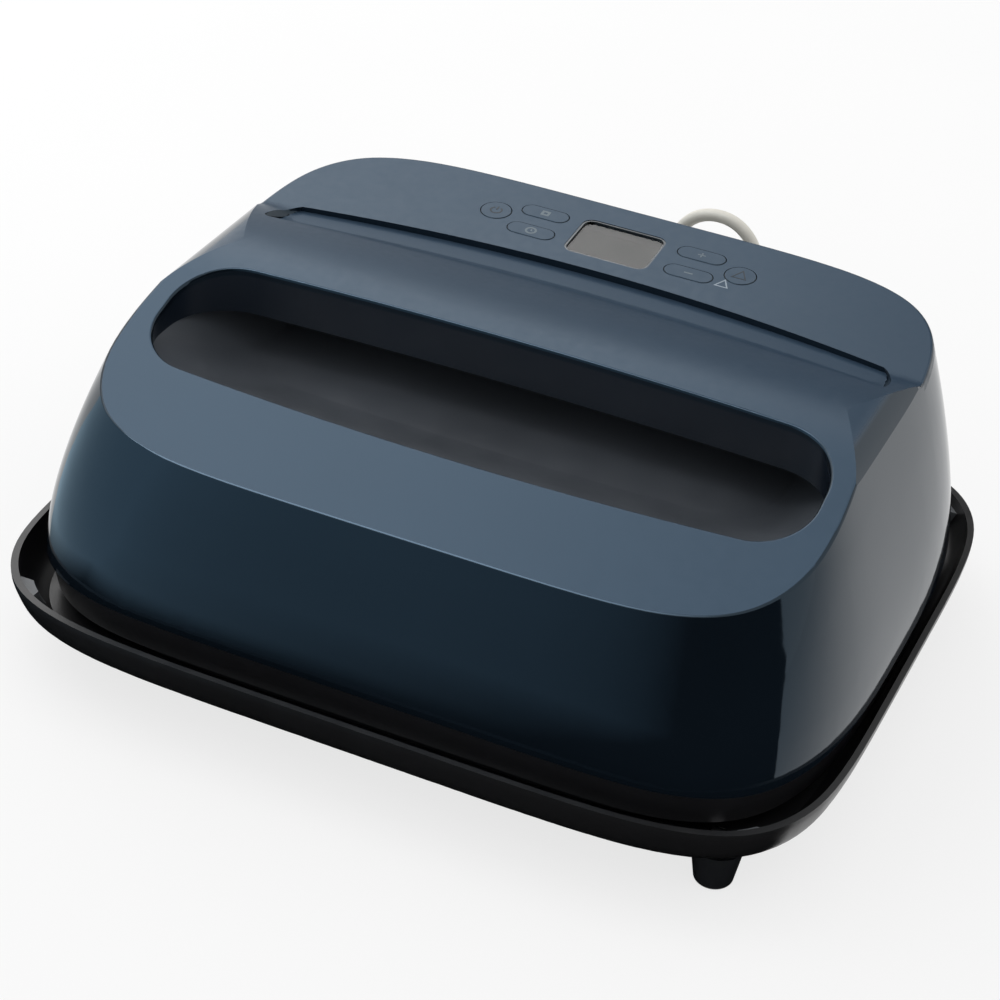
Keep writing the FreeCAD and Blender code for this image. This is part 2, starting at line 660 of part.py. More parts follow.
board_centre = WINDOW_Y - ROUND_KEY_Y
post_places = corners(BOARD_WIDTH / 2 - BOARD_POST_INSET, BOARD_DEPTH / 2 - BOARD_POST_INSET)
for x, y in post_places:
    post = rod(BOARD_POST_RADIUS, x, y + board_centre, BOARD_TOP, POST_ROOT - DECK_THICKNESS)
    hole = rod(BOARD_SCREW_RADIUS, x, y + board_centre, BOARD_TOP - 1, -DECK_THICKNESS)
    deck = deck.fuse(in_deck_frame(post)).cut(in_deck_frame(hole))
for x in (-BOSS_X, BOSS_X):
    under = top_height(BOSS_REAR_Y) - DECK_THICKNESS / 2
    deck = deck.fuse(rod(BOSS_RADIUS, x, BOSS_REAR_Y, CHASSIS_TOP, under))
    deck = deck.cut(rod(SCREW_RADIUS, x, BOSS_REAR_Y, CHASSIS_TOP - 1, CHASSIS_TOP + SCREW_LENGTH))
save("control_deck", deck)

bezel = window_block(0, DECK_THICKNESS - BEZEL_DROP, -BEZEL_DROP)
bezel = bezel.cut(window_block(-BEZEL_WALL, DECK_THICKNESS * 2, 1.0))
save("display_bezel", in_deck_frame(bezel))
lens = window_block(-BEZEL_WALL, LENS_THICKNESS, -LENS_DROP)
save("display_lens", in_deck_frame(lens))
lcd = window_block(-BEZEL_WALL, -LENS_DROP - LENS_THICKNESS + DECK_THICKNESS, -LENS_DROP - LENS_THICKNESS)
lcd_back = window_block(LCD_MARGIN - BEZEL_WALL, -DECK_THICKNESS - BOARD_TOP, -DECK_THICKNESS)
save("display_module", in_deck_frame(lcd.fuse(lcd_back).removeSplitter()))

board = rounded_box(BOARD_WIDTH, BOARD_DEPTH, BOARD_THICKNESS, BOARD_CORNER, (0, board_centre),
                    BOARD_BOTTOM)
board_screws = []
for x, y in post_places:
    board = board.cut(rod(BOARD_SCREW_RADIUS, x, y + board_centre, BOARD_BOTTOM - 1, BOARD_TOP + 1))
    shank = rod(BOARD_SCREW_RADIUS, x, y + board_centre, BOARD_BOTTOM, -DECK_THICKNESS)
    head = rod(2 * BOARD_SCREW_RADIUS, x, y + board_centre, BOARD_BOTTOM - BOARD_SCREW_HEAD,
               BOARD_BOTTOM)
    board_screws.append(in_deck_frame(shank.fuse(head)))
save("control_board", in_deck_frame(board))
save("board_screws", Part.makeCompound(board_screws))

switches = []
for name, (length, x, y) in keys.items():
    half = SWITCH_SIZE / 2
    v = y - ROUND_KEY_Y
    body = box(x - half, x + half, v - half, v + half, BOARD_TOP, BOARD_TOP + SWITCH_BODY)
    plunger = rod(SWITCH_PLUNGER_RADIUS, x, v, BOARD_TOP + SWITCH_BODY, PLUNGER_TOP)
    switches.append(in_deck_frame(body.fuse(plunger)))
save("key_switches", Part.makeCompound(switches))

buzzer = rod(BUZZER_RADIUS, BUZZER_X, board_centre, BOARD_BOTTOM - BUZZER_HEIGHT, BOARD_BOTTOM)
save("buzzer", in_deck_frame(buzzer))

# -------------------------------------------------------- shell and its grip
shell = outer.cut(inner).fuse(groove_lining.cut(above_top(SKIN / 3)))
for x in (-BOSS_X, BOSS_X):
    under = top_height(BOSS_FRONT_Y - BOSS_RADIUS) - SKIN / 2
    shell = shell.fuse(rod(BOSS_RADIUS, x, BOSS_FRONT_Y, CHASSIS_TOP, under))
    shell = shell.cut(rod(SCREW_RADIUS, x, BOSS_FRONT_Y, CHASSIS_TOP - 1,
                          CHASSIS_TOP + SCREW_LENGTH))
shell = shell.cut(pocket_void).cut(groove)
mouth_edges = []
for edge in shell.Edges:
    if edge.Degenerated:
        continue
    points = edge.discretize(7)
    in_mouth = all(OPENING_FRONT_Y - 2 < p.y < GRIP_FRONT_Y + 2 and abs(p.x) < OPENING_HALF_LENGTH + 1
                   for p in points)
    if in_mouth and all(abs(p.z - top_height(p.y)) < 0.2 for p in points):
        mouth_edges.append(edge)
shell = shell.makeFillet(OPENING_EDGE_ROUND, mouth_edges)
shell = shell.cut(deck_space)
GLAND_Y = SHELL_DEPTH / 2
shell = shell.cut(Part.makeCylinder(GLAND_BASE_RADIUS, 40, V(0, GLAND_Y - 30, CORD_EXIT_HEIGHT),
                                    V(0, 1, 0)))
save("shell", shell)

grip = bowed_prism(POCKET, grown(POCKET_WALL), POCKET_CEILING, TALL)
grip = grip.common(inner).cut(slot)
grip_void = bowed_prism(POCKET, grown(-GRIP_WALL), POCKET_CEILING + GRIP_WALL, TALL)
grip_keep = bowed_prism(MOUTH, grown(GRIP_WALL), POCKET_CEILING, TALL)
save("grip_core", grip.cut(grip_void.cut(grip_keep)))


# -------------------------------------------------------- skirt and chassis
def skirt_outline(inset, z):
    lean = SKIRT_LEAN * max(SHELL_Z - z, 0) / (SHELL_Z - SKIRT_Z)
    return outline(SHELL_WIDTH / 2 - SKIRT_INSET - inset - lean,
                   SHELL_DEPTH / 2 - SKIRT_INSET - inset - lean,
                   SHELL_DEPTH / 2 - SKIRT_INSET - inset - lean, BASE_POWER_X, BASE_POWER_Y, z)


def skirt_solid(inset):
    return Part.makeLoft([skirt_outline(inset, SKIRT_Z), skirt_outline(inset, SHELL_Z)], True, True)


tongue_inset = SHELL_WALL + TONGUE_CLEARANCE


def tongue(inset, z0, z1):
    return prism(outline(SHELL_WIDTH / 2 - inset, SHELL_DEPTH / 2 - inset, SHELL_DEPTH / 2 - inset,
                         BASE_POWER_X, BASE_POWER_Y, z0), z1 - z0)


plate_hole = rounded_box(PLATE_WIDTH + 2 * PLATE_GAP, PLATE_DEPTH + 2 * PLATE_GAP,
                         CHASSIS_TOP - LEG_LENGTH, PLATE_CORNER + PLATE_GAP, (0, 0), LEG_LENGTH)
skirt = skirt_solid(0).fuse(tongue(tongue_inset, SHELL_Z, CHASSIS_Z))
skirt = skirt.cut(tongue(tongue_inset + SKIRT_WALL, SKIRT_Z + SKIRT_FLANGE, CHASSIS_Z + 1))
skirt = skirt.cut(plate_hole)
save("skirt", skirt)

chassis = tongue(tongue_inset, CHASSIS_Z, CHASSIS_TOP)
plate = rounded_box(PLATE_WIDTH, PLATE_DEPTH, PLATE_THICKNESS, PLATE_CORNER, (0, 0), PLATE_Z)
plate = plate.makeFillet(PLATE_EDGE_ROUND, [e for e in plate.Edges
                                            if e.BoundBox.ZMax < PLATE_Z + 0.1])

# heating element: a racetrack loop cast into the plate's back, open at the rear
half_x, half_y = ELEMENT_SPAN_X / 2, ELEMENT_SPAN_Y / 2
r, q = ELEMENT_CORNER, ELEMENT_CORNER * (1 - math.sqrt(0.5))
gap = ELEMENT_GAP / 2
z = PLATE_TOP
runs = [Part.LineSegment(V(-gap, half_y, z), V(-half_x + r, half_y, z)),
        Part.Arc(V(-half_x + r, half_y, z), V(-half_x + q, half_y - q, z), V(-half_x, half_y - r, z)),
        Part.LineSegment(V(-half_x, half_y - r, z), V(-half_x, -half_y + r, z)),
        Part.Arc(V(-half_x, -half_y + r, z), V(-half_x + q, -half_y + q, z),
                 V(-half_x + r, -half_y, z)),
        Part.LineSegment(V(-half_x + r, -half_y, z), V(half_x - r, -half_y, z)),
        Part.Arc(V(half_x - r, -half_y, z), V(half_x - q, -half_y + q, z), V(half_x, -half_y + r, z)),
        Part.LineSegment(V(half_x, -half_y + r, z), V(half_x, half_y - r, z)),
        Part.Arc(V(half_x, half_y - r, z), V(half_x - q, half_y - q, z), V(half_x - r, half_y, z)),
        Part.LineSegment(V(half_x - r, half_y, z), V(gap, half_y, z))]
loop = Part.Wire([run.toShape() for run in runs])


def loop_tube(radius):
    ring = Part.Wire(Part.makeCircle(radius, V(-gap, half_y, z), V(-1, 0, 0)))
    return loop.makePipeShell([ring], True, False)


PIN_TOP = CHASSIS_TOP + PIN_RISE
element = loop_tube(ELEMENT_RADIUS)
for x in (-gap, gap):
    element = element.fuse(rod(ELEMENT_PIN_RADIUS, x + math.copysign(ELEMENT_PIN_RADIUS, x), half_y,
                               PLATE_TOP, PIN_TOP))
save("heating_element", element)
save("heat_plate", plate.cut(loop_tube(ELEMENT_RADIUS)))

shield_x = PLATE_WIDTH / 2 - SHIELD_MARGIN
shield_y = PLATE_DEPTH / 2 - SHIELD_MARGIN
shield = rounded_box(2 * shield_x, 2 * shield_y, SHIELD_THICKNESS + SHIELD_LIP, PLATE_CORNER,
                     (0, 0), SHIELD_Z - SHIELD_LIP)
shield = shield.cut(rounded_box(2 * (shield_x - SHIELD_THICKNESS), 2 * (shield_y - SHIELD_THICKNESS),
                                SHIELD_LIP, PLATE_CORNER - SHIELD_THICKNESS, (0, 0),
                                SHIELD_Z - SHIELD_LIP))
blanket = rounded_box(PLATE_WIDTH - 2 * BLANKET_MARGIN, PLATE_DEPTH - 2 * BLANKET_MARGIN,
                      BLANKET_THICKNESS, PLATE_CORNER, (0, 0), BLANKET_Z)
standoffs = []
chassis_screws = []
for x, y in corners(STANDOFF_X, STANDOFF_Y):
    standoffs.append(rod(STANDOFF_COLLAR_RADIUS, x, y, PLATE_TOP, SHIELD_Z).fuse(
        rod(STANDOFF_RADIUS, x, y, SHIELD_Z, CHASSIS_Z)).cut(
        rod(SCREW_RADIUS, x, y, CHASSIS_Z - SCREW_LENGTH, CHASSIS_Z)))
    shield = shield.cut(rod(STANDOFF_RADIUS, x, y, SHIELD_Z - 1, BLANKET_Z + 1))
    blanket = blanket.cut(rod(STANDOFF_RADIUS, x, y, BLANKET_Z - 1, CHASSIS_Z + 1))
    chassis = chassis.cut(rod(SCREW_RADIUS, x, y, CHASSIS_Z - 1, CHASSIS_TOP + 1))
    chassis_screws.append(rod(SCREW_RADIUS, x, y, CHASSIS_Z - SCREW_LENGTH, CHASSIS_TOP).fuse(
        rod(SCREW_HEAD_RADIUS, x, y, CHASSIS_TOP, CHASSIS_TOP + SCREW_HEAD_HEIGHT)))
for x in (-gap, gap):
    hole_x = x + math.copysign(ELEMENT_PIN_RADIUS, x)
    for lower, upper in ((SHIELD_Z, BLANKET_Z), (BLANKET_Z, CHASSIS_Z), (CHASSIS_Z, CHASSIS_TOP)):
        hole = rod(ELEMENT_PIN_RADIUS + PIN_CLEARANCE, hole_x, half_y, lower - 0.5, upper + 0.5)
        if lower == SHIELD_Z:
            shield = shield.cut(hole)
        elif lower == BLANKET_Z:
            blanket = blanket.cut(hole)
        else:
            chassis = chassis.cut(hole)
save("standoffs", Part.makeCompound(standoffs))
save("chassis_screws", Part.makeCompound(chassis_screws))
save("heat_shield", shield)

shell_screws = []
boss_places = [(x, y) for y in (BOSS_FRONT_Y, BOSS_REAR_Y) for x in (-BOSS_X, BOSS_X)]
for x, y in boss_places:
    chassis = chassis.cut(rod(SCREW_RADIUS, x, y, CHASSIS_Z - 1, CHASSIS_TOP + 1))
    blanket = blanket.cut(rod(SCREW_HEAD_RADIUS + HEAD_CLEARANCE, x, y, BLANKET_Z - 1, CHASSIS_Z + 1))
    shell_screws.append(rod(SCREW_RADIUS, x, y, CHASSIS_Z, CHASSIS_TOP + SCREW_LENGTH).fuse(
        rod(SCREW_HEAD_RADIUS, x, y, CHASSIS_Z - SCREW_HEAD_HEIGHT, CHASSIS_Z)))
save("shell_screws", Part.makeCompound(shell_screws))
save("chassis", chassis)
save("insulation_blanket", blanket)

save("thermal_fuse", Part.makeCylinder(FUSE_RADIUS, FUSE_LENGTH,
                                       V(FUSE_X - FUSE_LENGTH / 2, 0, PLATE_TOP + FUSE_RADIUS),
                                       V(1, 0, 0)))
save("temperature_sensor", rod(SENSOR_RADIUS, SENSOR_X, 0, PLATE_TOP, PLATE_TOP + SENSOR_HEIGHT))

# --------------------------------------------------------- mains electronics
POWER_BOARD_Z = CHASSIS_TOP + POWER_BOARD_RISE
power_board = box(-POWER_BOARD_WIDTH / 2, POWER_BOARD_WIDTH / 2, POWER_BOARD_Y - POWER_BOARD_DEPTH / 2,
                  POWER_BOARD_Y + POWER_BOARD_DEPTH / 2, POWER_BOARD_Z, POWER_BOARD_Z + BOARD_THICKNESS)
spacers = []
for x, y in corners(POWER_BOARD_WIDTH / 2 - POWER_POST_INSET, POWER_BOARD_DEPTH / 2 - POWER_POST_INSET):
    spacers.append(rod(POWER_POST_RADIUS, x, y + POWER_BOARD_Y, CHASSIS_TOP, POWER_BOARD_Z))
for x in (-gap, gap):
    pin_x = x + math.copysign(ELEMENT_PIN_RADIUS, x)
    power_board = power_board.cut(rod(ELEMENT_PIN_RADIUS + PIN_CLEARANCE, pin_x, half_y, POWER_BOARD_Z - 1,
                                      POWER_BOARD_Z + BOARD_THICKNESS + 1))
save("power_board", power_board)
save("board_spacers", Part.makeCompound(spacers))
PARTS_Z = POWER_BOARD_Z + BOARD_THICKNESS


def component(size, x, y):
    return box(x - size[0] / 2, x + size[0] / 2, y - size[1] / 2, y + size[1] / 2,
               PARTS_Z, PARTS_Z + size[2])


relay = component(RELAY, RELAY_X, POWER_BOARD_Y)
save("relay", relay.makeFillet(RELAY_ROUND, relay.Edges))
transformer = component(TRANSFORMER, TRANSFORMER_X, POWER_BOARD_Y)
save("transformer", transformer.makeChamfer(TRANSFORMER_CHAMFER, transformer.Edges))
terminal_y = POWER_BOARD_Y - TERMINAL_SHIFT_Y
save("terminal_block", component(TERMINAL, TERMINAL_X, terminal_y))

# ------------------------------------------------------------ cord and plug
wall_y = SHELL_DEPTH / 2 - REAR_WALL_LEAN * ((CORD_EXIT_HEIGHT - SHELL_Z) / TOP_SPAN) ** SIDE_BULGE_POWER
gland_inner_y = wall_y - SHELL_WALL - GLAND_HEAD - GLAND_HEAD_GAP
gland_tip_y = wall_y + GLAND_LENGTH
axis_y = V(0, 1, 0)
gland = Part.makeCylinder(GLAND_BASE_RADIUS, gland_tip_y - GLAND_LENGTH - gland_inner_y + 1.0,
                          V(0, gland_inner_y, CORD_EXIT_HEIGHT), axis_y)
gland = gland.fuse(Part.makeCone(GLAND_BASE_RADIUS, GLAND_TIP_RADIUS, GLAND_LENGTH - 1.0,
                                 V(0, wall_y + 1.0, CORD_EXIT_HEIGHT), axis_y))
gland = gland.fuse(Part.makeCylinder(GLAND_HEAD_RADIUS, GLAND_HEAD,
                                     V(0, gland_inner_y, CORD_EXIT_HEIGHT), axis_y))
for i in range(GLAND_RINGS):
    ring_base = V(0, wall_y + GLAND_RING_START + i * GLAND_RING_PITCH, CORD_EXIT_HEIGHT)
    ring = Part.makeCylinder(GLAND_HEAD_RADIUS, GLAND_RING_WIDTH, ring_base, axis_y)
    core = Part.makeCylinder(GLAND_RING_CORE, GLAND_RING_WIDTH, ring_base, axis_y)
    gland = gland.cut(ring.cut(core))
save("cord_gland", gland)

exit_point = V(0, gland_tip_y, CORD_EXIT_HEIGHT)
CLAMP_Y = gland_inner_y - CLAMP_DEPTH
lead = Part.makeCylinder(CORD_RADIUS, gland_inner_y - CLAMP_Y + CLAMP_GAP,
                         V(0, CLAMP_Y - CLAMP_GAP, CORD_EXIT_HEIGHT), axis_y)
clamp = box(-CLAMP_WIDTH / 2, CLAMP_WIDTH / 2, CLAMP_Y, CLAMP_Y + CLAMP_DEPTH - CLAMP_GAP, CHASSIS_TOP,
            CORD_EXIT_HEIGHT + CORD_RADIUS + CLAMP_COVER).cut(lead)
save("cord_clamp", clamp)
save("cord_inner_end", lead)

# the coil lies on its strap; the cord joins its top turn and leaves its lowest one
coil_radius = COIL_MID_DIAMETER / 2
coil_z = TIE_THICKNESS
coil_top = coil_z + (COIL_TURNS + 1) * CORD_DIAMETER
top_turn = coil_top - CORD_RADIUS
low_turn = coil_z + CORD_RADIUS
cord_points = [exit_point, V(0, 176.6, CORD_EXIT_HEIGHT), V(-2.2, 188.6, 82.4), V(-2.8, 189, 99.7),
               V(9.2, 188.5, 111.7), V(26.1, 188.5, 111.7), V(38.3, 187.8, 99.6), V(41.2, 185.2, 79.5),
               V(43.8, 183.2, 60.4), V(45.8, 195.1, top_turn + 2.6), V(46, 212.6, top_turn)]
tail_points = [V(11.5, 174, low_turn), V(25.5, 173.6, 3.6), V(40.5, 174, 5.2),
               V(54, 174.2, 9.6), V(65.5, 174.4, PLUG_HEIGHT / 2)]


def cord_tube(points, diameter, label):
    """Straight runs joined by tangent arcs, swept with a round section."""
    edges = []
    start = points[0]
    radii = []
    for before, here, after in zip(points, points[1:], points[2:]):
        u = (here - before).normalize()
        w = (after - here).normalize()
        turn = u.getAngle(w)
        run = min((here - before).Length, (after - here).Length)
        radius = 0.45 * run / math.tan(turn / 2)
        cut = 0.45 * run
        a, b = here - u * cut, here + w * cut
        bisect = (w - u).normalize()
        centre_gap = radius / math.cos(turn / 2)
        middle = here + bisect * (centre_gap - radius)
        if (a - start).Length > 1e-6:
            edges.append(Part.LineSegment(start, a).toShape())
        edges.append(Part.Arc(a, middle, b).toShape())
        start = b
        radii.append(radius)
    edges.append(Part.LineSegment(start, points[-1]).toShape())
    path = Part.Wire(edges)
    first = (points[1] - points[0]).normalize()
    ring = Part.Wire(Part.makeCircle(diameter / 2, points[0], first))
    tube = path.makePipeShell([ring], True, False)
    share = tube.Volume / (math.pi * diameter ** 2 / 4 * path.Length)
    print(label, "length", round(path.Length, 1), "radii", [round(v, 1) for v in radii],
          "volume share", round(share, 4), "valid", tube.isValid())
    return tube, path.Length


tube, tube_length = cord_tube(cord_points, CORD_DIAMETER, "cord")
tail, tail_length = cord_tube(tail_points, CORD_DIAMETER, "tail")
coil = rod(coil_radius + CORD_RADIUS, COIL_X, COIL_Y, coil_z, coil_top).cut(
    rod(coil_radius - CORD_RADIUS, COIL_X, COIL_Y, coil_z - 1, coil_top + 1))
save("cord", tube)
save("cord_tail", tail)
save("cord_coil", coil)
coil_length = COIL_TURNS * math.pi * COIL_MID_DIAMETER
print("whole cord", round(tube_length + coil_length + tail_length), "mm")

# hook-and-loop strap round the coil's bundle
strap_x = COIL_X - coil_radius
strap = box(strap_x - CORD_RADIUS - TIE_THICKNESS, strap_x + CORD_RADIUS + TIE_THICKNESS,
            COIL_Y - TIE_WIDTH / 2, COIL_Y + TIE_WIDTH / 2, 0, coil_top + TIE_THICKNESS)
strap = strap.makeFillet(TIE_ROUND, [e for e in strap.Edges if abs(e.tangentAt(e.FirstParameter).y) > 0.9])
save("coil_tie", strap.cut(coil))

# plug, lying beside the coil with its blades to the right
neck_x, plug_y, plug_z = tail_points[-1]
body_x = neck_x + PLUG_NECK_LENGTH
face_x = body_x + PLUG_LENGTH
axis_x = V(1, 0, 0)
plug = box(body_x, face_x, plug_y - PLUG_WIDTH / 2, plug_y + PLUG_WIDTH / 2,
           plug_z - PLUG_HEIGHT / 2, plug_z + PLUG_HEIGHT / 2)
plug = plug.makeFillet(PLUG_ROUND, [e for e in plug.Edges
                                    if abs(e.tangentAt(e.FirstParameter).x) > 0.9])
plug = plug.makeFillet(PLUG_ROUND / 2, [e for e in plug.Edges if e.BoundBox.XMax < body_x + 0.1])
neck = Part.makeCone(PLUG_NECK_TIP, PLUG_NECK_RADIUS, PLUG_NECK_LENGTH + PLUG_NECK_ROOT,
                     V(neck_x, plug_y, plug_z), axis_x)
plug = plug.fuse(neck)
for i in range(PLUG_BANDS):
    band_base = V(neck_x + PLUG_BAND_START + PLUG_BAND_PITCH * i, plug_y, plug_z)
    band = Part.makeCylinder(PLUG_NECK_RADIUS + 1, PLUG_BAND_WIDTH, band_base, axis_x)
    core = Part.makeCylinder(PLUG_BAND_CORE, PLUG_BAND_WIDTH, band_base, axis_x)
    plug = plug.cut(band.cut(core))
save("plug_body", plug)
blade_z = plug_z + BLADE_RISE
for name, side in (("plug_blade_line", -1), ("plug_blade_neutral", 1)):
    centre = plug_y + side * BLADE_SPACING / 2
    blade = box(face_x, face_x + BLADE_LENGTH, centre - BLADE_THICKNESS / 2,
                centre + BLADE_THICKNESS / 2, blade_z - BLADE_WIDTH / 2, blade_z + BLADE_WIDTH / 2)
    tip = [e for e in blade.Edges if e.BoundBox.XMin > face_x + BLADE_LENGTH - 0.01]
    save(name, blade.makeChamfer(BLADE_THICKNESS / 3, tip))
pin = Part.makeCylinder(GROUND_PIN_RADIUS, BLADE_LENGTH,
                        V(face_x, plug_y, blade_z - GROUND_PIN_DROP), axis_x)
pin = pin.makeFillet(GROUND_PIN_RADIUS * 0.7, [e for e in pin.Edges
                                               if e.BoundBox.XMin > face_x + BLADE_LENGTH - 0.01])
save("plug_ground_pin", pin)
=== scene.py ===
import json
import math

import bpy
from mathutils import Matrix, Vector


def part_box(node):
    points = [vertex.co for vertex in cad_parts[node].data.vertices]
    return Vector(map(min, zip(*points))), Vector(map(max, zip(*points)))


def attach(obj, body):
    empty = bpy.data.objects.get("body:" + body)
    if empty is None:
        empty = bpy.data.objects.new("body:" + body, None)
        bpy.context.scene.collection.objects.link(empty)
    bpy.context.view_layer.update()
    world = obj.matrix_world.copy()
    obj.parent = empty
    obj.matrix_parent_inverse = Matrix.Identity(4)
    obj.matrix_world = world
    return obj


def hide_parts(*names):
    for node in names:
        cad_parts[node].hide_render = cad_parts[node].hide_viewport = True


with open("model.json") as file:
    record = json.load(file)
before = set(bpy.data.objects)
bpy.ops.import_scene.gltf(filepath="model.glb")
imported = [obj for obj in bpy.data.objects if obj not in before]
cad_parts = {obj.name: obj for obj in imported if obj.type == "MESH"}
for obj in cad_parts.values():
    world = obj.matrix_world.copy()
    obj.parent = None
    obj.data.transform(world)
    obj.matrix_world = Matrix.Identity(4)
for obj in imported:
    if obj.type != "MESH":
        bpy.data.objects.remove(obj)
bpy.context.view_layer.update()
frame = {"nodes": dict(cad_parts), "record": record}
nodes = frame["nodes"]
MM = 0.001

# ------------------------------------------------------------------ the camera
CAMERA_AZIMUTH = math.radians(22.113)
CAMERA_ELEVATION = math.radians(33.382)
CAMERA_ROLL = math.radians(4.534)
CAMERA_DISTANCE = 1.0723
CAMERA_AIM = Vector((0.0033, -0.0199, 0.068))
CAMERA_LENS = 93.17
SENSOR = 36.0
SIGHT_LIMIT = 50


def add_camera():
    """Camera at the photograph's angle, rolled a little as the photograph is."""
    a, e, r = CAMERA_AZIMUTH, CAMERA_ELEVATION, CAMERA_ROLL
    back = Vector((math.sin(a) * math.cos(e), -math.cos(a) * math.cos(e), math.sin(e)))
    level_right = Vector((math.cos(a), math.sin(a), 0))
    level_up = back.cross(level_right)
    right = level_right * math.cos(r) + level_up * math.sin(r)
    up = level_up * math.cos(r) - level_right * math.sin(r)
    data = bpy.data.cameras.new("camera")
    data.lens = CAMERA_LENS
    data.sensor_width = SENSOR
    data.clip_end = SIGHT_LIMIT
    camera = bpy.data.objects.new("camera", data)
    bpy.context.scene.collection.objects.link(camera)
    place = Matrix((right, up, back)).transposed().to_4x4()
    place.translation = CAMERA_AIM + back * CAMERA_DISTANCE
    camera.matrix_world = place
    bpy.context.scene.camera = camera


add_camera()


# --------------------------------------------------------------- material kit
NOISE_LOW = 0.3
NOISE_HIGH = 0.7
THREADS = 900


class Graph:
    """A material's node tree, with short calls for the nodes used here."""

    def __init__(self, name):
        self.material = bpy.data.materials.new(name)
        self.material.use_nodes = True
        self.tree = self.material.node_tree
        self.shader = self.tree.nodes["Principled BSDF"]
        self.place = self.tree.nodes.new("ShaderNodeTexCoord").outputs["Object"]

    def node(self, kind, **settings):
        made = self.tree.nodes.new(kind)
        for key, value in settings.items():
            setattr(made, key, value)
        return made

    def link(self, output, socket):
        self.tree.links.new(output, socket)

    def feed(self, socket, value):
        """Give a socket a number, a colour or another node's output."""
        if isinstance(value, (int, float)):
            socket.default_value = value
        elif isinstance(value, tuple):
            socket.default_value = (*value, 1.0) if len(value) == 3 else value
        else:
            self.link(value, socket)

    def stretched(self, scale):
        mapping = self.node("ShaderNodeMapping")
        self.link(self.place, mapping.inputs["Vector"])
        mapping.inputs["Scale"].default_value = scale
        return mapping.outputs["Vector"]

    def noise(self, scale, detail=3.0, vector=None, rough=0.5):
        made = self.node("ShaderNodeTexNoise")
        self.link(vector or self.place, made.inputs["Vector"])
        made.inputs["Scale"].default_value = scale
        made.inputs["Detail"].default_value = detail
        made.inputs["Roughness"].default_value = rough
        return made.outputs["Fac"]

    def cells(self, scale, vector=None):
        made = self.node("ShaderNodeTexVoronoi")
        self.link(vector or self.place, made.inputs["Vector"])
        made.inputs["Scale"].default_value = scale
        return made.outputs["Distance"]

    def waves(self, scale, distortion=0.0, direction="X", vector=None):
        made = self.node("ShaderNodeTexWave", bands_direction=direction)
        self.link(vector or self.place, made.inputs["Vector"])
        made.inputs["Scale"].default_value = scale
        made.inputs["Distortion"].default_value = distortion
        return made.outputs["Fac"]

    def spread(self, value, low, high, from_low=0.0, from_high=1.0, smooth=False):
        made = self.node("ShaderNodeMapRange")
        if smooth:
            made.interpolation_type = "SMOOTHSTEP"
        self.feed(made.inputs["Value"], value)
        for name, number in (("From Min", from_low), ("From Max", from_high),
                             ("To Min", low), ("To Max", high)):
            made.inputs[name].default_value = number
        return made.outputs["Result"]

    def maths(self, operation, a, b):
        made = self.node("ShaderNodeMath", operation=operation)
        self.feed(made.inputs[0], a)
        self.feed(made.inputs[1], b)
        return made.outputs[0]

    def mix(self, share, a, b):
        made = self.node("ShaderNodeMix", data_type="RGBA")
        self.feed(made.inputs[0], share)
        self.feed(made.inputs[6], a)
        self.feed(made.inputs[7], b)
        return made.outputs[2]

    def mottle(self, scale, detail, low=0.0, high=1.0):
        """Noise whose middle part is spread from low to high."""
        return self.spread(self.noise(scale, detail), low, high, NOISE_LOW, NOISE_HIGH)

    def bump(self, height, depth):
        made = self.node("ShaderNodeBump")
        self.link(height, made.inputs["Height"])
        made.inputs["Distance"].default_value = depth
        made.inputs["Strength"].default_value = 1.0
        return made.outputs["Normal"]

    def axis(self, output, name):
        made = self.node("ShaderNodeSeparateXYZ")
        self.link(output, made.inputs[0])
        return made.outputs[name]

    def normal(self):
        return self.node("ShaderNodeTexCoord").outputs["Normal"]

    def put(self, **sockets):
        """Set or link the shader's sockets by short names, and give the material."""
        names = {"colour": "Base Color", "rough": "Roughness", "metal": "Metallic",
                 "normal": "Normal", "specular": "Specular IOR Level", "sheen": "Sheen Weight",
                 "ior": "IOR", "transmission": "Transmission Weight", "tint": "Specular Tint"}
        for key, value in sockets.items():
            self.feed(self.shader.inputs[names[key]], value)
        return self.material


def shade(colour, factor):
    return tuple(min(1.0, c * factor) for c in colour)


def moulded(name, colour, rough=0.4, grain=1800, depth=0.02, specular=0.5):
    """Moulded plastic: faint mottling, a fine spark-eroded grain, uneven polish."""
    g = Graph(name)
    base = g.mix(g.mottle(14, 4), shade(colour, 0.86), shade(colour, 1.12))
    fine = g.noise(grain, 2)
    uneven = g.mottle(60, 3, rough * 0.85, rough * 1.15)
    return g.put(colour=base, rough=uneven, specular=specular, normal=g.bump(fine, depth * MM))


def rubbery(name, colour, rough=0.55):
    """Soft plastic or rubber: matt, slightly cloudy, with a coarse grain."""
    g = Graph(name)
    cloud = g.spread(g.noise(35, 4), 0, 1, 0.35, 0.65)
    base = g.mix(cloud, shade(colour, 0.9), shade(colour, 1.08))
    uneven = g.mottle(240, 2, rough - 0.06, rough + 0.06)
    return g.put(colour=base, rough=uneven, specular=0.4,
                 normal=g.bump(g.noise(900, 3), 0.03 * MM))


def metal(name, colour, rough=0.3, stretch=(60, 1200, 60), tint=None):
    """Rolled or turned metal with fine drawn lines and slight staining."""
    g = Graph(name)
    lines = g.noise(1.0, 4, g.stretched(stretch), 0.7)
    stain = g.spread(g.noise(25, 4), 0, 1, 0.35, 0.7)
    base = g.mix(stain, colour, tint or shade(colour, 0.8))
    uneven = g.spread(lines, rough * 0.75, rough * 1.35, NOISE_LOW, NOISE_HIGH)
    return g.put(colour=base, metal=1.0, rough=uneven, normal=g.bump(lines, 0.008 * MM))


